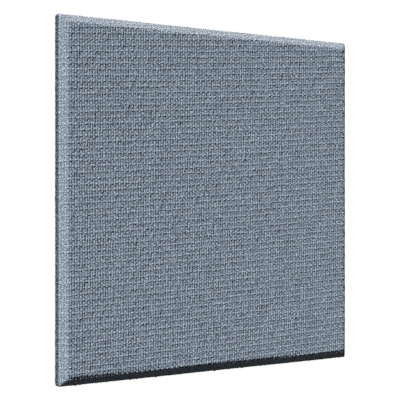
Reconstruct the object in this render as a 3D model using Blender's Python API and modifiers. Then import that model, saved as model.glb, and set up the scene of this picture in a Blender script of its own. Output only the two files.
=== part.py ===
"""Fabric-wrapped acoustic wall panel, lying on its back with its face up.

Two pieces: a rigid glass-fibre board with bevelled front edges, and one cloth drawn over it and
glued down on the back. Metres. +Z comes out of the face, +X and +Y point to the right and to the
top of the hung panel, and the origin is the middle of the back, level with the returned cloth.
"""
import math

import bmesh
import bpy
from mathutils import Vector

# Outside size of the wrapped panel
PANEL_WIDTH = 0.6096
PANEL_LENGTH = 0.6096
PANEL_THICKNESS = 0.0254

# Bevel on the front edges: how far it runs in over the face, and how far it drops from the face
BEVEL_RUN = 0.0127
BEVEL_DROP = 0.0127

# Board: the rounding left on its cut edges
BOARD_EASING = 0.0008

# Cloth: its thickness, its slack over the board, and how far it returns over the back
CLOTH_THICKNESS = 0.0016
CLOTH_SLACK = 0.0003
RETURN_WIDTH = 0.045

# Corner folds on the back: depth of the groove where the two folded edges of cloth meet
FOLD_DEPTH = 0.0009
FOLD_OVERRUN = 0.004

# Number of flats that a rounded edge is drawn with
EASING_STEPS = 3

CLOTH_COLOUR = (0.181, 0.220, 0.266, 1.0)
CLOTH_ROUGHNESS = 0.95
BOARD_COLOUR = (0.60, 0.50, 0.24, 1.0)
BOARD_ROUGHNESS = 0.90


def clear_scene():
    """Remove every object, so that the file holds the panel alone."""
    for old in list(bpy.data.objects):
        bpy.data.objects.remove(old, do_unlink=True)


def new_collection(name):
    """Add a collection to the scene."""
    collection = bpy.data.collections.new(name)
    bpy.context.scene.collection.children.link(collection)
    return collection


def new_material(name, colour, roughness):
    """A matte surface of one colour."""
    material = bpy.data.materials.new(name)
    material.use_nodes = True
    shader = material.node_tree.nodes["Principled BSDF"]
    shader.inputs["Base Color"].default_value = colour
    shader.inputs["Roughness"].default_value = roughness
    shader.inputs["Metallic"].default_value = 0.0
    material.diffuse_color = colour
    return material


def new_object(name, bm, material, collection):
    """Turn a finished bmesh into a smooth-shaded object."""
    mesh = bpy.data.meshes.new(name)
    bm.to_mesh(mesh)
    bm.free()
    mesh.materials.append(material)
    mesh.shade_smooth()
    piece = bpy.data.objects.new(name, mesh)
    collection.objects.link(piece)
    return piece


def bevel_scale(depth):
    """How much smaller the bevel is on a surface that lies this depth inside the panel's outside.

    The face, the bevel and the square edge all move in by the same depth, so the corner that the
    bevel cuts off shrinks towards its own plane.
    """
    slope = math.hypot(BEVEL_RUN, BEVEL_DROP)
    cut = BEVEL_RUN * BEVEL_DROP / slope
    approach = depth * (BEVEL_RUN + BEVEL_DROP) / slope - depth
    return (cut - approach) / cut


def bevelled_slab(depth):
    """A slab with bevelled front edges, every face this depth inside the panel's outside.

    A box as high as the square edge, whose top is inset by the bevel's run and raised by its drop.
    """
    scale = bevel_scale(depth)
    run = BEVEL_RUN * scale
    drop = BEVEL_DROP * scale
    width = PANEL_WIDTH - 2.0 * depth
    length = PANEL_LENGTH - 2.0 * depth
    edge_height = PANEL_THICKNESS - 2.0 * depth - drop
    bm = bmesh.new()
    bmesh.ops.create_cube(bm, size=1.0)
    bmesh.ops.scale(bm, vec=(width, length, edge_height), verts=bm.verts)
    bmesh.ops.translate(bm, vec=(0.0, 0.0, depth + edge_height / 2.0), verts=bm.verts)
    top = [face for face in bm.faces if face.normal.z > 0.5]
    bmesh.ops.inset_region(bm, faces=top, thickness=run, depth=drop, use_even_offset=True)
    return bm


def ease_edges(piece, width):
    """Round every sharp edge of a piece by this width on each side."""
    easing = piece.modifiers.new("eased_edges", 'BEVEL')
    easing.width = width
    easing.segments = EASING_STEPS
    easing.limit_method = 'ANGLE'
    easing.angle_limit = math.radians(20.0)
    easing.use_clamp_overlap = True


def make_core_board(material, collection):
    """The board, inside the cloth and its slack."""
    bm = bevelled_slab(CLOTH_THICKNESS + CLOTH_SLACK)
    board = new_object("core_board", bm, material, collection)
    ease_edges(board, BOARD_EASING)
    return board


def make_fabric_cover(material, collection):
    """The cloth: its inner surface as an open skin with a window in the back, thickened outwards."""
    bm = bevelled_slab(CLOTH_THICKNESS)
    back = [face for face in bm.faces if face.normal.z < -0.5]
    inner_return = RETURN_WIDTH - CLOTH_THICKNESS
    bmesh.ops.inset_region(bm, faces=back, thickness=inner_return, use_even_offset=True)
    bmesh.ops.delete(bm, geom=back, context='FACES')
    cover = new_object("fabric_cover", bm, material, collection)
    ease_edges(cover, BOARD_EASING + CLOTH_SLACK)
    cloth = cover.modifiers.new("cloth_thickness", 'SOLIDIFY')
    cloth.thickness = CLOTH_THICKNESS
    cloth.offset = 1.0
    cloth.use_even_offset = True
    cloth.use_quality_normals = True
    return cover


def fold_bar(corner_x, corner_y):
    """A square bar set on edge along one corner fold, sunk into the cloth by the fold's depth."""
    outer = Vector((corner_x * PANEL_WIDTH / 2.0, corner_y * PANEL_LENGTH / 2.0, -FOLD_DEPTH))
    inwards = Vector((-corner_x, -corner_y, 0.0))
    start = outer - inwards.normalized() * FOLD_OVERRUN
    end = outer + inwards * RETURN_WIDTH + inwards.normalized() * FOLD_OVERRUN
    run = end - start
    reach = 2.0 * FOLD_DEPTH
    bm = bmesh.new()
    bmesh.ops.create_cone(
        bm, cap_ends=True, segments=4, radius1=reach, radius2=reach, depth=run.length)
    turn = run.to_track_quat('Z', 'X').to_matrix()
    bmesh.ops.rotate(bm, matrix=turn, verts=bm.verts)
    bmesh.ops.translate(bm, vec=(start + end) / 2.0, verts=bm.verts)
    return bm


def cut_corner_folds(cover, material, collection):
    """Cut the line where the two folded edges of cloth meet, at each corner of the back."""
    corners = {"top_right": (1, 1), "top_left": (-1, 1), "bottom_left": (-1, -1), "bottom_right": (1, -1)}
    for place, (corner_x, corner_y) in corners.items():
        name = "fold_" + place
        bar = new_object(name, fold_bar(corner_x, corner_y), material, collection)
        bar.hide_render = True
        bar.display_type = 'WIRE'
        cut = cover.modifiers.new(name, 'BOOLEAN')
        cut.operation = 'DIFFERENCE'
        cut.solver = 'EXACT'
        cut.object = bar


def main():
    """Build the panel."""
    clear_scene()
    panel = new_collection("fabric_acoustic_wall_panel")
    cutters = new_collection("cutters")
    cloth = new_material("woven_cloth", CLOTH_COLOUR, CLOTH_ROUGHNESS)
    board = new_material("glass_fibre_board", BOARD_COLOUR, BOARD_ROUGHNESS)
    make_core_board(board, panel)
    cover = make_fabric_cover(cloth, panel)
    cut_corner_folds(cover, cloth, cutters)


main()
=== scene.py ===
"""Looks of a fabric-wrapped acoustic wall panel, lying on its back as it would be stored.

The board keeps its solid and gets the finish of pressed glass fibre. The cloth is made anew: a ribbed
ground drawn over the board, and the thick weft cords that run through it. Both are worked out on the
flat cloth, in threads counted from its middle, and wrapped round the panel by one profile.
Metres throughout, +Z out of the face.
"""
import math

import bmesh
import bpy
import numpy as np
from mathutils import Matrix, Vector


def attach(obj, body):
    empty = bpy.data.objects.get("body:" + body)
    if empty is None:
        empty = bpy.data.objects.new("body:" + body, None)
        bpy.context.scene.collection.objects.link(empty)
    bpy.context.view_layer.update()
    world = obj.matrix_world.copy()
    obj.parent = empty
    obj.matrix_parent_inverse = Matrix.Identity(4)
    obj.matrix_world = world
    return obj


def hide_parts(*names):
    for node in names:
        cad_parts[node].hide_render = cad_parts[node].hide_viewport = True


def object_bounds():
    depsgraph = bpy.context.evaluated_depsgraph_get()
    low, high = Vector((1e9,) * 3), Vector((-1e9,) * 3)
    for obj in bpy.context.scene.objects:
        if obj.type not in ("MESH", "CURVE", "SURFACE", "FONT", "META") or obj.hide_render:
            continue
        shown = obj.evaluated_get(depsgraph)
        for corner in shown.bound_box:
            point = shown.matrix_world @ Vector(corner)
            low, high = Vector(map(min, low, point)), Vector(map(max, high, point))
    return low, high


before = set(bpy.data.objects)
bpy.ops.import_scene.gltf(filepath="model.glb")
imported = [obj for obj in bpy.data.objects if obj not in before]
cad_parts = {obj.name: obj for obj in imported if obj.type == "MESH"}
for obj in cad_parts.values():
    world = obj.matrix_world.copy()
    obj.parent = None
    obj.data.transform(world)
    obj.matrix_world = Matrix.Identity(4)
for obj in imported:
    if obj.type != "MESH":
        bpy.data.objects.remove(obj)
CAD_LOW, CAD_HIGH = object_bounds()
MILLIMETRE = 0.001

# Panel: half its outside size, its thickness, its bevel, the cloth returned over the back, the
# cloth's thickness, and how round it turns at the face's edge, under the bevel and at the back
HALF_WIDTH = CAD_HIGH.x
HALF_LENGTH = CAD_HIGH.y
THICKNESS = CAD_HIGH.z
BEVEL_RUN = 0.0127
BEVEL_DROP = 0.0127
RETURN_WIDTH = 0.045
CLOTH_THICKNESS = 0.0016
ARRIS_RADII = (0.0042, 0.0030, 0.0018)

# Weave: pitch of the warps and how it grows from left to right, pitch of the rows of cord, how the
# rows climb to the right, how much more they climb towards the top, how they bow, and how far the
# middle threads lie off the panel's middle, in pitches
WARP_PITCH = 0.004993
WARP_SPREAD = 2.2e-6
WARP_OFFSET = 0.791
ROW_PITCH = 0.010218
ROW_SLOPE = math.tan(math.radians(3.2))
ROW_FAN = 0.0875
ROW_BOW = 0.0173
ROW_OFFSET = -0.018

# Ribs of the ground: how far the grooves lie inside the panel's outside, how high a rib stands out
# of them, how far it rises and sinks at the crossings, how sharply and how unevenly
GROOVE_DEPTH = 0.00127
RIB_HEIGHT = 0.00126
FLOAT_LIFT = 0.00074
FLOAT_SHARPNESS = 0.70
FLOAT_VARIATION = 0.29

# Looseness of the warps: how far one strays sideways, within how many rows, and how near the face's
# left and right edges it stays straight; and how thick its lumps are, and how many there are to a row
WARP_WANDER = 0.00064
ROWS_PER_BEND = 1.7
STRAIGHT_MARGIN = 0.015
LUMP_HEIGHT = 0.00020
LUMPS_PER_ROW = 2.6

# Mitres: width over which the ribs die out, depth of the fold's line on the back, and how far the
# cords stop short of it
SEAM_WIDTH = 0.004
FOLD_DEPTH = 0.0008
FOLD_GAP = 0.0016

# Where the cloth is drawn tight over the arrises: flat distances past the face's edge, the share of
# its relief that is left at each, and the height that this relief lies about
TIGHT_RUNS = (0.0, 0.0035, 0.0140, 0.0185, 0.0200, 0.0265, 0.0290)
TIGHT_SHARES = (1.0, 0.70, 0.30, 0.30, 1.6, 1.6, 0.25)
TIGHT_LEVEL = 0.0003

# Cords: half the width and height of one, how high its middle rides over and under the warps and how
# unevenly, how sharp its knuckles are, and how far to the left of a warp they sit, in pitches
CORD_HALF_WIDTH = 0.00181
CORD_HALF_HEIGHT = 0.00070
CORD_OVER = -0.00015
CORD_UNDER = -0.00155
CORD_VARIATION = 0.00008
KNUCKLE_SHARPNESS = 2.17
KNUCKLE_LEAN = 0.071

# Looseness of the cords: how far one strays sideways and within how many warps, how much it swells
# and within how many warps, and how many chance numbers apart neighbouring cords are
CORD_WANDER = 0.00045
WARPS_PER_BEND = 2.5
BEND_ROW_STEP = 5.0
SLUB_SIZE = 0.09
WARPS_PER_SLUB = 3.0
SLUB_ROW_STEP = 7.0

# Steps of the ground: across a warp, along a warp, how near a corner its lines begin to spread to
# reach the mitre, points of an arc of the profile, and steps over an edge, outside and inside, for
# its first arc, bevel, second arc, square edge, third arc and return
STEPS_PER_WARP = 3
FACE_ROW_STEP = 0.0033
CORNER_ZONE = 0.060
ARC_POINTS = 9
OUTER_STEPS = (2, 8, 2, 6, 2, 4)
INNER_STEPS = (1, 1, 1, 1, 1, 1)
JOIN_DISTANCE = 2.0e-6

# Steps of the cords: stations from one knuckle to the next in warps, flats round half a cord, and
# rows that are tried past the cloth's edge, because the rows climb
KNUCKLE_STATIONS = (-1.0, -0.50, -0.23, 0.0, 0.23, 0.50)
CORD_SIDES = 5
SPARE_ROWS = 4

# Colours of the yarn at tone 0, 1 and 2, and how matte it is
YARN_DARK = (0.067, 0.097, 0.134, 1.0)
YARN_COLOUR = (0.222, 0.289, 0.365, 1.0)
YARN_LIGHT = (0.463, 0.554, 0.632, 1.0)
YARN_ROUGHNESS = 0.92
MATTE_SPECULAR = 0.15

# Tones by place, which paint shade and highlight: painted shade in the grooves, and how far up a rib
# it ends; of a cord as a whole; painted shade at its ends under the warps; a painted highlight on the
# crown of a knuckle; painted shade down its sides, and where the sides begin and end, in rows
GROOVE_PAINTED_SHADE = 0.20
RIB_SHOULDER = 0.75
CORD_TONE = 1.21
CORD_END_PAINTED_SHADE = 0.75
CROWN_PAINTED_HIGHLIGHT = 1.39
CORD_SIDE_PAINTED_SHADE = 0.62
CORD_FLANK = (0.15, 0.5)

# Clumps of fibre: how many to a millimetre along the rows and along the warps, how much they are
# drawn out along their yarn, the range of noise that they take, the tones at its ends, their height
CLUMPS_ALONG_ROW = 0.46
CLUMPS_ALONG_WARP = 0.58
CLUMP_STRETCH = 1.5
CLUMP_RANGE = (0.40, 0.60)
CLUMP_TONES = (0.0, 1.76)
CLUMP_HEIGHT = 0.00020

# Fibres: how many to a millimetre along and across their yarn, the range of noise that they take,
# how much they differ in tone, and their height as a share of the clumps'
FIBRES_ALONG = 0.5
FIBRES_ACROSS = 3.0
FIBRE_RANGE = (0.30, 0.70)
FIBRE_CONTRAST = 0.65
FIBRE_SHARE = 0.25

# Square edges: the power that tones are raised to there, which deepens the painted shade and the
# painted highlights of the yarn, and the height over which it changes
EDGE_PAINTED_SHADE_POWER = 2.0
EASING = 0.0012

# Board: its three colours, clumps and fibres to a metre along each axis, the ranges of noise that
# they take, how far a fibre turns pale, the strength and height of its relief, and how matte it is
BOARD_STRAW = (0.66, 0.55, 0.26, 1.0)
BOARD_BROWN = (0.48, 0.37, 0.13, 1.0)
BOARD_PALE = (0.80, 0.72, 0.45, 1.0)
BOARD_CLUMPS = (60.0, 60.0, 240.0)
BOARD_FIBRES = (900.0, 240.0, 900.0)
BOARD_CLUMP_RANGE = (0.3, 0.7)
BOARD_FIBRE_RANGE = (0.52, 0.75)
BOARD_PALE_SHARE = 0.7
BOARD_RELIEF = (0.8, 0.0012)
BOARD_ROUGHNESS = 0.85

# Camera, as the photograph was taken: its place, its turn to the right, its focal length in pixels
CAMERA_PLACE = (-1.0320, 0.0005, 1.5755)
CAMERA_TURN = 0.5702
CAMERA_FOCUS = 1047.00
CAMERA_NEAR = 0.01
FRAME_PIXELS = 400.0
SENSOR = 36.0

# Lamps: direction towards each, its strength, its colour and its width in degrees; and the sky
KEY_LAMP = ((-1.23, 1.77, 1.0), 6.40, (1.0, 0.935, 0.922), 4.0)
LOW_LAMP = ((-0.20, 0.85, -0.20), 2.10, (1.0, 0.55, 0.15), 22.0)
FILL_LAMP = ((-1.0, -0.10, 0.30), 0.60, (1.0, 0.85, 0.70), 10.0)
SKY_COLOUR = (0.053, 0.054, 0.0585, 1.0)

# Stage: level of the floor, how far off its walls are, and the grey card's distance from the panel,
# its length as a share of the panel's and the share of light that it lets through
FLOOR_LEVEL = -0.0012
FAR = 30.0
CARD_DISTANCE = 0.002
CARD_LENGTH = 1.2
CARD_PASS = 0.31


def profile():
    """The cloth's course in cross-section, from the face over the bevel and the edge to the back.

    Four straight runs joined by arcs of ARRIS_RADII, all turning the same way. The first and the
    last run go on well past the cloth. Returned by flat distance from the face's edge: that
    distance, the distance in from the outside, the height and the heading; and the distances at
    which the three arcs start and end.
    """
    corner = np.array([(BEVEL_RUN, THICKNESS), (0.0, THICKNESS - BEVEL_DROP), (0.0, 0.0)])
    heading = np.unwrap([math.pi, math.atan2(-BEVEL_DROP, -BEVEL_RUN), -math.pi / 2.0, 0.0])
    direction = np.stack([np.cos(heading), np.sin(heading)], axis=1)
    radius = np.array(ARRIS_RADII)
    trim = radius * np.tan(np.diff(heading) / 2.0)
    knots = [corner[0] - direction[0] * HALF_WIDTH * 2.0]
    angles = [heading[0]]
    for place in range(3):
        bend = np.linspace(heading[place], heading[place + 1], ARC_POINTS)
        start = corner[place] - direction[place] * trim[place]
        centre = start + radius[place] * np.array([-direction[place, 1], direction[place, 0]])
        knots.extend(centre + radius[place] * np.stack([np.sin(bend), -np.cos(bend)], axis=1))
        angles.extend(bend)
    knots.append(corner[2] + direction[3] * RETURN_WIDTH * 2.0)
    angles.append(heading[3])
    knots = np.array(knots)
    run = np.concatenate([[0.0], np.cumsum(np.hypot(*np.diff(knots, axis=0).T))])
    run = run - run[1] - trim[0]
    arcs = run[1:-1].reshape(3, ARC_POINTS)[:, [0, -1]]
    return run, knots[:, 0], knots[:, 1], np.array(angles), arcs


PROFILE_RUN, PROFILE_IN, PROFILE_HEIGHT, PROFILE_HEADING, ARCS = profile()
FACE_EDGE = HALF_WIDTH - BEVEL_RUN
FLAT_EDGE = FACE_EDGE + ARCS[0, 0]
BACK_START = ARCS[2, 1]
RETURN_END = BACK_START + RETURN_WIDTH - ARRIS_RADII[2]


def past_face(across, along):
    """Flat distance past the face's side edges, and past its end edges."""
    return np.abs(across) - FACE_EDGE, np.abs(along) - (HALF_LENGTH - BEVEL_RUN)


def wrap(across, along, lift):
    """Places on the panel of points of the flat cloth, lifted off its course by a height.

    A point past the face's edge follows the profile of the side that it is further past, and keeps
    its distance along that side, up to the mitre where two sides meet. Returned with the flat
    distance past the face's edge and the distance past the mitre, which is more than nothing for
    cloth that is tucked away in a corner.
    """
    past_side, past_end = past_face(across, along)
    on_end = past_end >= past_side
    run = np.where(on_end, past_end, past_side)
    heading = np.interp(run, PROFILE_RUN, PROFILE_HEADING)
    inwards = np.interp(run, PROFILE_RUN, PROFILE_IN) + lift * np.sin(heading)
    height = np.interp(run, PROFILE_RUN, PROFILE_HEIGHT) - lift * np.cos(heading)
    limit = np.where(on_end, HALF_WIDTH, HALF_LENGTH) - inwards
    reach = np.where(on_end, HALF_LENGTH, HALF_WIDTH) - inwards
    level = np.where(on_end, across, along)
    side = reach * np.sign(np.where(on_end, along, across))
    tucked = np.abs(level) - limit
    level = np.clip(level, -limit, limit)
    place = np.stack([np.where(on_end, level, side), np.where(on_end, side, level), height], axis=-1)
    return place, run, tucked


def drawn_tight(across, along, lift):
    """A height with its relief flattened where the cloth is drawn over an edge."""
    share = np.interp(np.maximum(*past_face(across, along)), TIGHT_RUNS, TIGHT_SHARES)
    return TIGHT_LEVEL + (lift - TIGHT_LEVEL) * share


def warp_line(number):
    """Flat place of a warp: its pitch times its number, and a little more to the right."""
    number = number + WARP_OFFSET
    return WARP_PITCH * number + WARP_SPREAD * number * number


def warp_number(across):
    """Number of the warp at a flat place, the same quadratic solved for the number."""
    root = np.sqrt(WARP_PITCH ** 2 + 4.0 * WARP_SPREAD * across)
    return (root - WARP_PITCH) / (2.0 * WARP_SPREAD) - WARP_OFFSET


def row_line(number, across):
    """Flat place of a cord: its pitch times its number, fanned out to the right, on a bowed slope."""
    fan = 1.0 + ROW_FAN * across
    return ROW_PITCH * (number + ROW_OFFSET) * fan + (ROW_SLOPE + ROW_BOW * across) * across


def row_number(across, along):
    """Number of the cord at a flat place, the same line solved for the number."""
    level = (along - (ROW_SLOPE + ROW_BOW * across) * across) / (1.0 + ROW_FAN * across)
    return level / ROW_PITCH - ROW_OFFSET


class Hand:
    """The unevenness of a hand-spun cloth: one fixed chance number for each warp and row."""

    SPAN = 200
    LIMIT = 2.0

    def __init__(self, seed):
        self.chance = np.random.default_rng(seed).standard_normal((self.SPAN, self.SPAN))

    def at(self, warp, row):
        """The number of one crossing."""
        warp = np.round(warp).astype(int) + self.SPAN // 2
        row = np.round(row).astype(int) + self.SPAN // 2
        return np.clip(self.chance[row % self.SPAN, warp % self.SPAN], -self.LIMIT, self.LIMIT)

    def smooth(self, warp, row):
        """The numbers of the four crossings around, blended by nearness."""
        left, low = np.floor(warp), np.floor(row)
        right, high = left + 1.0, low + 1.0
        right_share, high_share = warp - left, row - low
        lower = self.at(left, low) * (1.0 - right_share) + self.at(right, low) * right_share
        upper = self.at(left, high) * (1.0 - right_share) + self.at(right, high) * right_share
        return lower * (1.0 - high_share) + upper * high_share


FLOATS = Hand(11)
SWELL = Hand(12)
KNUCKLES = Hand(13)
SLUBS = Hand(14)
WANDER = Hand(15)


def ground_lift(across, along):
    """Height of the ground: a rounded rib on each warp, cos(pi n) of the warp's number n, which
    sinks where a cord crosses over the warp and rises where the warp floats over the cord, by
    cos(pi (k + n)) of the cord's number k.
    """
    warp = warp_number(across)
    row = row_number(across, along)
    thread = np.round(warp)
    rib = np.abs(np.cos(math.pi * warp))
    crossing = 2.0 * np.floor((row + thread) / 2.0) + 1.0 - thread
    crown = ((1.0 - np.cos(math.pi * (row + thread))) / 2.0) ** FLOAT_SHARPNESS
    rise = 2.0 * crown * (1.0 + FLOAT_VARIATION * FLOATS.at(thread, crossing))
    lump = LUMP_HEIGHT * SWELL.smooth(thread, row * LUMPS_PER_ROW)
    lift = -GROOVE_DEPTH + rib * (RIB_HEIGHT + FLOAT_LIFT * (rise - 1.0) + lump)
    return drawn_tight(across, along, lift)


def outer_lift(across, along, margin):
    """Height of the ground over an edge, whose ribs die out within SEAM_WIDTH of the mitre."""
    ribs = np.clip(margin / SEAM_WIDTH, 0.0, 1.0)
    on_back = np.maximum(*past_face(across, along)) > BACK_START
    seam = -GROOVE_DEPTH / 2.0 - np.where(on_back, FOLD_DEPTH, 0.0)
    return seam + (ground_lift(across, along) - seam) * ribs


def inner_lift(across, along, margin):
    """Height of the ground's plain inside, the same everywhere."""
    return np.full(across.shape, -CLOTH_THICKNESS)


def ground_wander(across, along):
    """How far the warps stray sideways, blended along each of them, and not near the sides."""
    stray = WANDER.smooth(np.round(warp_number(across)), row_number(across, along) / ROWS_PER_BEND)
    return np.where(np.abs(across) < FACE_EDGE - STRAIGHT_MARGIN, WARP_WANDER * stray, 0.0)


def face_levels(step_lines):
    """Lines of the face's grid: those given that lie inside its flat part, and the part's two edges."""
    inside = step_lines[np.abs(step_lines) < FLAT_EDGE - WARP_PITCH / (2.0 * STEPS_PER_WARP)]
    return np.concatenate([[-FLAT_EDGE], inside, [FLAT_EDGE]])


def strip_levels(levels, limit):
    """The face's lines carried on over an edge, spread near the corners so that they reach the mitre."""
    nearness = np.clip((np.abs(levels) - FLAT_EDGE + CORNER_ZONE) / CORNER_ZONE, 0.0, 1.0)
    return levels + np.sign(levels) * (limit - FLAT_EDGE) * nearness


def strip_runs(counts):
    """Flat distances past the face's edge at which an edge is stepped: each arc and each straight."""
    ends = np.concatenate([ARCS.ravel(), [RETURN_END]])
    parts = [np.linspace(ends[i], ends[i + 1], count + 1)[:-1] for i, count in enumerate(counts)]
    return np.concatenate(parts + [[RETURN_END]])


def edge_grids(columns, rows, runs, lift_at):
    """One layer of the cloth on the four edges, each as flat places across and along and a lift.

    Rows of a grid go outwards and its columns go round the panel anticlockwise, so that every face
    looks out.
    """
    limit = (HALF_WIDTH - np.interp(runs, PROFILE_RUN, PROFILE_IN))[:, None]
    upright = strip_levels(rows[None, :], limit)
    level = strip_levels(columns[None, :], limit)
    past_side = (FACE_EDGE + runs)[:, None] + 0.0 * upright
    past_end = (FACE_EDGE + runs)[:, None] + 0.0 * level
    sides = [(past_side, -upright), (-past_side, upright), (level, past_end), (-level, -past_end)]
    margins = [limit - np.abs(upright)] * 2 + [limit - np.abs(level)] * 2
    return [(u, v, lift_at(u, v, margin)) for (u, v), margin in zip(sides, margins)]


def quads(rows, columns, start=0):
    """Corner numbers of a grid's quads, facing the way that columns cross rows."""
    first = start + np.arange(rows - 1)[:, None] * columns + np.arange(columns - 1)
    return np.stack([first, first + 1, first + columns + 1, first + columns], axis=-1).reshape(-1, 4)


def cut_edges(first, spans, outer_rows, inner_rows):
    """Quads that join the last line of each outer edge grid to the last line of its inner one.

    The outer grids start at a vertex number and the inner ones follow, each as wide as its span.
    """
    rims = []
    outer_start, inner_start = first, first + outer_rows * sum(spans)
    for span in spans:
        outer = outer_start + (outer_rows - 1) * span + np.arange(span)
        inner = inner_start + (inner_rows - 1) * span + np.arange(span)
        rims.append(np.stack([outer[:-1], outer[1:], inner[1:], inner[:-1]], axis=-1))
        outer_start += outer_rows * span
        inner_start += inner_rows * span
    return rims


def make_mesh(name, places, faces, thread_counts, material):
    """A smooth mesh of quads, with the thread count of each vertex as its UV map."""
    mesh = bpy.data.meshes.new(name)
    mesh.vertices.add(len(places))
    mesh.vertices.foreach_set("co", places.astype(np.float32).ravel())
    mesh.loops.add(faces.size)
    mesh.loops.foreach_set("vertex_index", faces.astype(np.int32).ravel())
    mesh.polygons.add(len(faces))
    mesh.polygons.foreach_set("loop_start", np.arange(0, faces.size, 4, dtype=np.int32))
    mesh.update(calc_edges=True)
    layer = mesh.uv_layers.new(name="thread_count")
    layer.data.foreach_set("uv", thread_counts[faces.ravel()].astype(np.float32).ravel())
    mesh.shade_smooth()
    mesh.materials.append(material)
    piece = bpy.data.objects.new(name, mesh)
    bpy.context.scene.collection.objects.link(piece)
    return piece


def make_ground(material):
    """The ribbed ground cloth: its outside, its plain inside and the cut edge that joins them."""
    last = int(HALF_WIDTH / WARP_PITCH) * STEPS_PER_WARP
    numbers = (np.arange(-last, last + 1) + 0.5) / STEPS_PER_WARP
    columns = face_levels(warp_line(numbers))
    rows = np.linspace(-FLAT_EDGE, FLAT_EDGE, int(2.0 * FLAT_EDGE / FACE_ROW_STEP) + 1)
    outer_runs, inner_runs = strip_runs(OUTER_STEPS), strip_runs(INNER_STEPS)
    across, along = np.meshgrid(columns, rows)
    grids = [(across, along, ground_lift(across, along), False)]
    grids += [(*grid, False) for grid in edge_grids(columns, rows, outer_runs, outer_lift)]
    grids += [(*grid, True) for grid in edge_grids(columns, rows, inner_runs, inner_lift)]
    places, counts, faces, total = [], [], [], 0
    for across, along, lift, turned in grids:
        place = wrap(across + ground_wander(across, along), along, lift)[0]
        count = np.stack([warp_number(across), row_number(across, along)], axis=-1)
        places.append(place.reshape(-1, 3))
        counts.append(count.reshape(-1, 2))
        corners = quads(*across.shape, start=total)
        faces.append(corners[:, ::-1] if turned else corners)
        total += across.size
    spans = [rows.size, rows.size, columns.size, columns.size]
    faces += cut_edges(rows.size * columns.size, spans, outer_runs.size, inner_runs.size)
    places, faces, counts = (np.concatenate(parts) for parts in (places, faces, counts))
    piece = make_mesh("woven_cover", places, faces, counts, material)
    close_ground(piece)
    return piece


def close_ground(piece):
    """Join the grids where they meet, and close the inside of the face with one flat face."""
    bm = bmesh.new()
    bm.from_mesh(piece.data)
    bmesh.ops.remove_doubles(bm, verts=bm.verts, dist=JOIN_DISTANCE)
    open_edges = [edge for edge in bm.edges if edge.is_boundary]
    for face in bmesh.ops.contextual_create(bm, geom=open_edges)["faces"]:
        face.smooth = True
        if face.normal.z > 0.0:
            face.normal_flip()
    bm.to_mesh(piece.data)
    bm.free()


def cord_rings(rows):
    """Rings of points round the cords of some rows, one ring at each station of each cord.

    A cord is half round, and flat below: out from its row's line by w cos t and up by h sin t. Its
    middle follows a power of (1 + cos(pi (n + k))) / 2, of the warp's number n and its own number k:
    a knuckle over every second warp, and low under those between. Returned as flat places across
    and along, lifts, and thread counts.
    """
    last_warp = int(warp_number(FACE_EDGE + RETURN_END) / 2.0) + 1
    knuckles = 2.0 * np.arange(-last_warp, last_warp + 1)[:, None] + np.array(KNUCKLE_STATIONS)
    warp = knuckles.ravel()[None, :, None] + rows % 2 - KNUCKLE_LEAN
    turn = np.linspace(0.0, math.pi, CORD_SIDES + 1)[None, None, :]
    ride = np.cos(math.pi * (warp + KNUCKLE_LEAN + rows))
    nearest = 2.0 * np.round((warp + KNUCKLE_LEAN - rows % 2) / 2.0) + rows % 2
    size = 1.0 + SLUB_SIZE * SLUBS.smooth(warp / WARPS_PER_SLUB, rows * SLUB_ROW_STEP)
    middle = CORD_UNDER + (CORD_OVER - CORD_UNDER) * ((1.0 + ride) / 2.0) ** KNUCKLE_SHARPNESS
    middle = middle + CORD_VARIATION * KNUCKLES.at(nearest, rows) * np.clip(0.5 + ride, 0.0, 1.0)
    drift = CORD_WANDER * WANDER.smooth(warp / WARPS_PER_BEND, rows * BEND_ROW_STEP)
    across_line = warp_line(warp + 0.0 * turn)
    along_line = row_line(rows, across_line) + drift
    out = CORD_HALF_WIDTH * size * np.cos(turn)
    slope = math.atan(ROW_SLOPE)
    across = across_line + out * math.sin(slope)
    along = along_line - out * math.cos(slope)
    lift = drawn_tight(across, along, middle + CORD_HALF_HEIGHT * size * np.sin(turn))
    count = np.stack(np.broadcast_arrays(warp, rows + 0.5 * np.cos(turn)), axis=-1)
    return across, along, lift, count


def make_cords(name, lowest_row, highest_row, material):
    """The thick weft cords of the rows between two numbers, each a closed tube through its rings.

    A cord ends at the mitres, where it passes under the next side's cloth, and at the cut edges.
    """
    across, along, lift, count = cord_rings(np.arange(lowest_row, highest_row + 1)[:, None, None])
    place, run, tucked = wrap(across, along, lift)
    at_mitre = tucked > np.where(run > BACK_START, -FOLD_GAP, JOIN_DISTANCE)
    hidden = at_mitre.any(axis=2) | (run > RETURN_END).any(axis=2)
    kept = ~(hidden[:, :-1] | hidden[:, 1:])
    points = CORD_SIDES + 1
    ring = np.arange(hidden.size).reshape(hidden.shape)[:, :-1][kept]
    side = np.arange(points)
    near = ring[:, None] * points + side
    near_next = ring[:, None] * points + (side + 1) % points
    faces = np.stack([near_next, near, near + points, near_next + points], axis=-1).reshape(-1, 4)
    used, faces = np.unique(faces, return_inverse=True)
    faces = faces.reshape(-1, 4)
    piece = make_mesh(name, place.reshape(-1, 3)[used], faces, count.reshape(-1, 2)[used], material)
    close_cords(piece)
    return piece


def close_cords(piece):
    """Close both ends of every cord with a flat face."""
    bm = bmesh.new()
    bm.from_mesh(piece.data)
    ends = [edge for edge in bm.edges if edge.is_boundary]
    for face in bmesh.ops.holes_fill(bm, edges=ends, sides=CORD_SIDES + 1)["faces"]:
        face.smooth = False
    bm.to_mesh(piece.data)
    bm.free()


def step(tree, kind, inputs=(), **settings):
    """Add a node with its settings, and give its sockets a value or another node's output."""
    node = tree.nodes.new(kind)
    for name, value in settings.items():
        setattr(node, name, value)
    for socket, value in dict(inputs).items():
        if isinstance(value, bpy.types.NodeSocket):
            tree.links.new(value, node.inputs[socket])
        else:
            node.inputs[socket].default_value = value
    return node


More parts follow.
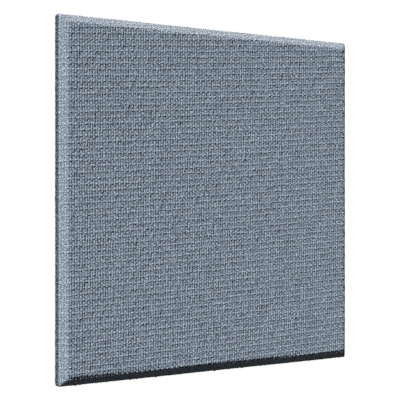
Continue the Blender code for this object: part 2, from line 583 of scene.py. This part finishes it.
def sum_of(tree, operation, first, second=0.0, third=0.0):
    """One sum on numbers, such as MULTIPLY or COSINE."""
    return step(tree, "ShaderNodeMath", {0: first, 1: second, 2: third}, operation=operation).outputs[0]


def scaled(tree, vector, scale):
    """A coordinate stretched by a scale for each axis."""
    return step(tree, "ShaderNodeVectorMath", {0: vector, 1: scale}, operation='MULTIPLY').outputs[0]


def grain(tree, vector, detail, roughness=0.5):
    """Soft noise between 0 and 1."""
    inputs = {"Vector": vector, "Scale": 1.0, "Detail": detail, "Roughness": roughness}
    return step(tree, "ShaderNodeTexNoise", inputs, noise_dimensions='3D').outputs["Fac"]


def spread(tree, value, low, high, new_low, new_high):
    """A value carried from one range to another, and held at its ends."""
    inputs = {"Value": value, "From Min": low, "From Max": high, "To Min": new_low, "To Max": new_high}
    return step(tree, "ShaderNodeMapRange", inputs, clamp=True).outputs["Result"]


def blend_of(tree, share, first, second):
    """Two colours mixed by a share. A Mix node takes its colours at sockets 6 and 7."""
    node = step(tree, "ShaderNodeMix", data_type='RGBA')
    for socket, value in ((0, share), (6, first), (7, second)):
        if isinstance(value, bpy.types.NodeSocket):
            tree.links.new(value, node.inputs[socket])
        else:
            node.inputs[socket].default_value = value
    return node.outputs[2]


def new_material(name):
    """An empty material: itself and its node tree."""
    material = bpy.data.materials.new(name)
    material.use_nodes = True
    return material, material.node_tree


def finish_off(tree, roughness, colour, height, strength, distance):
    """Give the matte surface of a tree its colour and its relief."""
    shader = tree.nodes["Principled BSDF"]
    shader.inputs["Roughness"].default_value = roughness
    shader.inputs["Specular IOR Level"].default_value = MATTE_SPECULAR
    tree.links.new(colour, shader.inputs["Base Color"])
    relief = {"Height": height, "Strength": strength, "Distance": distance}
    tree.links.new(step(tree, "ShaderNodeBump", relief).outputs[0], shader.inputs["Normal"])


def yarn_finish(name, along_row, along_warp, painted_shade_and_highlight):
    """Dyed yarn, by how many of its fibres are met in a millimetre along the rows and the warps.

    Clumps of fibre make it lumpy and lighter or darker, single fibres streak it, and a function of
    the thread count paints shade into the gaps and, on the cords, a highlight on the crowns.
    """
    material, tree = new_material(name)
    count = step(tree, "ShaderNodeUVMap", uv_map="thread_count").outputs[0]
    place = scaled(tree, count, (WARP_PITCH / MILLIMETRE, ROW_PITCH / MILLIMETRE, 1.0))
    stretch = CLUMP_STRETCH if along_row > along_warp else 1.0 / CLUMP_STRETCH
    clump_scale = (CLUMPS_ALONG_ROW * stretch, CLUMPS_ALONG_WARP / stretch, 1.0)
    clump = grain(tree, scaled(tree, place, clump_scale), detail=1.0)
    fibre = grain(tree, scaled(tree, place, (along_row, along_warp, 1.0)), detail=3.0)
    split = step(tree, "ShaderNodeSeparateXYZ", {0: count})
    # Painted shade in the gaps and grooves and, on the cords, a painted highlight on the crowns.
    tone = painted_shade_and_highlight(tree, split.outputs[0], split.outputs[1])
    tone = sum_of(tree, 'MULTIPLY', tone, spread(tree, clump, *CLUMP_RANGE, *CLUMP_TONES))
    streak = spread(tree, fibre, *FIBRE_RANGE, 1.0 - FIBRE_CONTRAST, 1.0 + FIBRE_CONTRAST)
    tone = sum_of(tree, 'MULTIPLY', tone, streak)
    # Painted shade and highlight: on the square edges the tones are raised to a power, so the gaps paint
    # darker and the crowns lighter.
    tone = sum_of(tree, 'POWER', tone, on_square_edge(tree, 1.0, EDGE_PAINTED_SHADE_POWER))
    colour = blend_of(tree, spread(tree, tone, 0.0, 1.0, 0.0, 1.0), YARN_DARK, YARN_COLOUR)
    colour = blend_of(tree, spread(tree, tone, 1.0, 2.0, 0.0, 1.0), colour, YARN_LIGHT)
    height = sum_of(tree, 'MULTIPLY_ADD', fibre, FIBRE_SHARE, clump)
    finish_off(tree, YARN_ROUGHNESS, colour, height, 1.0, CLUMP_HEIGHT)
    return material


def on_square_edge(tree, elsewhere, on_edge):
    """A value that changes over to another on the square edges, between the back and the bevel."""
    place = step(tree, "ShaderNodeTexCoord").outputs["Object"]
    height = step(tree, "ShaderNodeSeparateXYZ", {0: place}).outputs[2]
    above_back = spread(tree, height, 0.5 * EASING, 2.0 * EASING, elsewhere, on_edge)
    level = THICKNESS - BEVEL_DROP
    below_bevel = spread(tree, height, level - EASING, level + 0.5 * EASING, on_edge, elsewhere)
    return sum_of(tree, 'MINIMUM', above_back, below_bevel)


def warp_groove_painted_shade(tree, warp, row):
    """Painted shade of the ground by its warp's number: darker down in the grooves between its ribs,
    where shade falls.
    """
    rib = sum_of(tree, 'ABSOLUTE', sum_of(tree, 'COSINE', sum_of(tree, 'MULTIPLY', warp, math.pi)))
    return spread(tree, rib, 0.0, RIB_SHOULDER, GROOVE_PAINTED_SHADE, 1.0)


def cord_painted_highlight_and_shade(tree, warp, row):
    """Tone of the cords, with a painted highlight on the crown of a knuckle and painted shade towards
    its ends under the warps and down its sides.
    """
    number = sum_of(tree, 'ROUND', row)
    place = sum_of(tree, 'ADD', sum_of(tree, 'ADD', warp, KNUCKLE_LEAN), number)
    ride = sum_of(tree, 'COSINE', sum_of(tree, 'MULTIPLY', place, math.pi))
    # Painted highlight on the crown of each knuckle, painted shade towards its ends under the warps.
    tone = sum_of(tree, 'MULTIPLY', spread(tree, ride, 0.0, 1.0, CORD_END_PAINTED_SHADE, CROWN_PAINTED_HIGHLIGHT), CORD_TONE)
    # Painted shade down the sides of each cord.
    aside = sum_of(tree, 'ABSOLUTE', sum_of(tree, 'SUBTRACT', row, number))
    return sum_of(tree, 'MULTIPLY', tone, spread(tree, aside, *CORD_FLANK, 1.0, CORD_SIDE_PAINTED_SHADE))


def board_finish():
    """Pressed glass fibre: straw-coloured layers of tangled fibre with paler and darker clumps."""
    material, tree = new_material("pressed_glass_fibre")
    place = step(tree, "ShaderNodeTexCoord").outputs["Object"]
    clump = grain(tree, scaled(tree, place, BOARD_CLUMPS), detail=6.0, roughness=0.65)
    fibre = grain(tree, scaled(tree, place, BOARD_FIBRES), detail=3.0)
    brown = spread(tree, clump, *BOARD_CLUMP_RANGE, 0.0, 1.0)
    pale = spread(tree, fibre, *BOARD_FIBRE_RANGE, 0.0, BOARD_PALE_SHARE)
    colour = blend_of(tree, brown, BOARD_STRAW, BOARD_BROWN)
    colour = blend_of(tree, pale, colour, BOARD_PALE)
    finish_off(tree, BOARD_ROUGHNESS, colour, sum_of(tree, 'ADD', clump, fibre), *BOARD_RELIEF)
    return material


def add_camera():
    """The camera, as the photograph was taken: level with the panel's middle, to its left."""
    lens = bpy.data.cameras.new("camera")
    lens.sensor_width = SENSOR
    lens.lens = CAMERA_FOCUS / FRAME_PIXELS * SENSOR
    lens.clip_start = CAMERA_NEAR
    camera = bpy.data.objects.new("camera", lens)
    camera.location = CAMERA_PLACE
    camera.rotation_euler = (0.0, -CAMERA_TURN, 0.0)
    bpy.context.scene.collection.objects.link(camera)
    bpy.context.scene.camera = camera


def add_sun(name, towards, strength, colour, width):
    """A distant soft lamp that shines from a direction, as wide as an angle in degrees."""
    lamp = bpy.data.lights.new(name, 'SUN')
    lamp.energy = strength
    lamp.color = colour
    lamp.angle = math.radians(width)
    sun = bpy.data.objects.new(name, lamp)
    sun.rotation_euler = Vector(towards).to_track_quat('Z', 'Y').to_euler()
    bpy.context.scene.collection.objects.link(sun)


def add_lights():
    """A key lamp from the upper left, a broad warm one beyond the top edge, for the upper bevel and too
    low to light the face, a weak warm one from the left, and a faint sky.
    """
    add_sun("key_lamp", *KEY_LAMP)
    add_sun("low_lamp", *LOW_LAMP)
    add_sun("fill_lamp", *FILL_LAMP)
    world = bpy.data.worlds.new("studio")
    world.use_nodes = True
    world.node_tree.nodes["Background"].inputs["Color"].default_value = SKY_COLOUR
    world.node_tree.nodes["Background"].inputs["Strength"].default_value = 1.0
    bpy.context.scene.world = world
    bpy.context.scene.view_settings.view_transform = 'Standard'


def stage_piece(name, corners, faces, material_name, kind, inputs):
    """A plain piece of the stage, whose surface is one node with its inputs."""
    material, tree = new_material(material_name)
    surface = step(tree, kind, inputs)
    tree.links.new(surface.outputs[0], tree.nodes["Material Output"].inputs["Surface"])
    mesh = bpy.data.meshes.new(name)
    mesh.from_pydata(corners, [], faces)
    mesh.materials.append(material)
    piece = bpy.data.objects.new(name, mesh)
    bpy.context.scene.collection.objects.link(piece)
    return piece


def add_flag():
    """A thin grey card beside the left edge, unseen, which keeps most of the key lamp off that edge.

    It stands as high as the square edge, and higher by its distance times the key lamp's slope.
    """
    towards = KEY_LAMP[0]
    top = THICKNESS - BEVEL_DROP + CARD_DISTANCE * towards[2] / abs(towards[0])
    across = -HALF_WIDTH - CARD_DISTANCE
    end = HALF_LENGTH * CARD_LENGTH
    corners = [(across, -end, 0.0), (across, end, 0.0), (across, end, top), (across, -end, top)]
    veil = {"Color": (CARD_PASS, CARD_PASS, CARD_PASS, 1.0)}
    flag = stage_piece("flag", corners, [(0, 1, 2, 3)], "grey_card", "ShaderNodeBsdfTransparent", veil)
    flag.visible_camera = False


def add_floor():
    """A white floor with far walls, which glow as the camera sees them and neither light nor shade the
    panel.
    """
    corners = [(-FAR, -FAR), (FAR, -FAR), (FAR, FAR), (-FAR, FAR)]
    levels = [(x, y, FLOOR_LEVEL) for x, y in corners] + [(x, y, FAR) for x, y in corners]
    walls = [(i, i + 4, (i + 1) % 4 + 4, (i + 1) % 4) for i in range(4)]
    glow = {"Color": (1.0, 1.0, 1.0, 1.0), "Strength": 1.0}
    faces = [(0, 1, 2, 3)] + walls
    floor = stage_piece("floor", levels, faces, "white_floor", "ShaderNodeEmission", glow)
    floor.visible_diffuse = False
    floor.visible_glossy = False
    floor.visible_shadow = False


def main():
    """Dress the panel, light it and look at it."""
    add_camera()
    add_lights()
    add_floor()
    add_flag()
    # The warp yarn gets painted shade in its grooves; the cord yarn gets a painted highlight on its
    # crowns and painted shade down its sides and at its ends.
    warp_yarn = yarn_finish("blue_grey_warp", FIBRES_ACROSS, FIBRES_ALONG, warp_groove_painted_shade)
    cord_yarn = yarn_finish("blue_grey_cord", FIBRES_ALONG, FIBRES_ACROSS, cord_painted_highlight_and_shade)
    last_row = int((FACE_EDGE + RETURN_END) / ROW_PITCH) + SPARE_ROWS
    ground = make_ground(warp_yarn)
    upper_cords = make_cords("upper_weft_cords", 1, last_row, cord_yarn)
    lower_cords = make_cords("lower_weft_cords", -last_row, 0, cord_yarn)
    for piece in (ground, upper_cords, lower_cords):
        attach(piece, "root")
    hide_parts("fabric_cover")
    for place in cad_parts["core_board"].material_slots:
        place.material = board_finish()


main()
